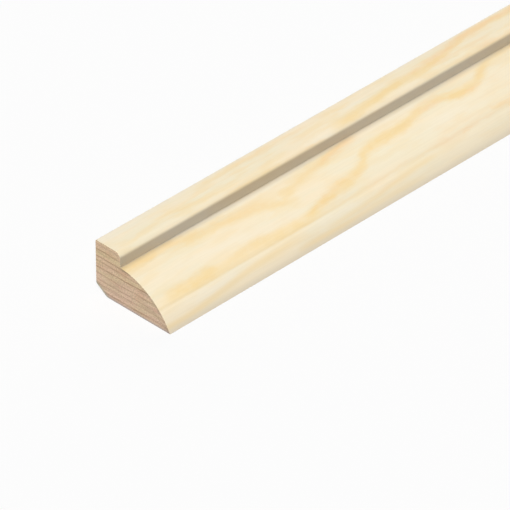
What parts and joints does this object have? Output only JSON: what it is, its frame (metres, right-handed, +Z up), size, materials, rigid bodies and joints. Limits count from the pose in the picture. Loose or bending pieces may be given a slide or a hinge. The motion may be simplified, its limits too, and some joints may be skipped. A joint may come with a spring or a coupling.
{
  "type": "glazing bead",
  "caption": "Slim softwood glazing bead with a flat shoulder, a quirk, an ovolo face and a bevelled hidden corner, used to hold a pane of glass in its rebate.",
  "frame": {"origin": "middle of the stick's length and width, on its seat", "axes": "+Y along the stick, +Z up from the seat to the flat shoulder, +X from the face that meets the glass towards the foot of the ovolo"},
  "size_m": [0.015, 2.4, 0.009],
  "materials": {
    "bare_pine": "bare planed softwood, sawn ends"
  },
  "bodies": {
    "root": {"glazing_bead": "bare_pine"}
  },
  "joints": []
}
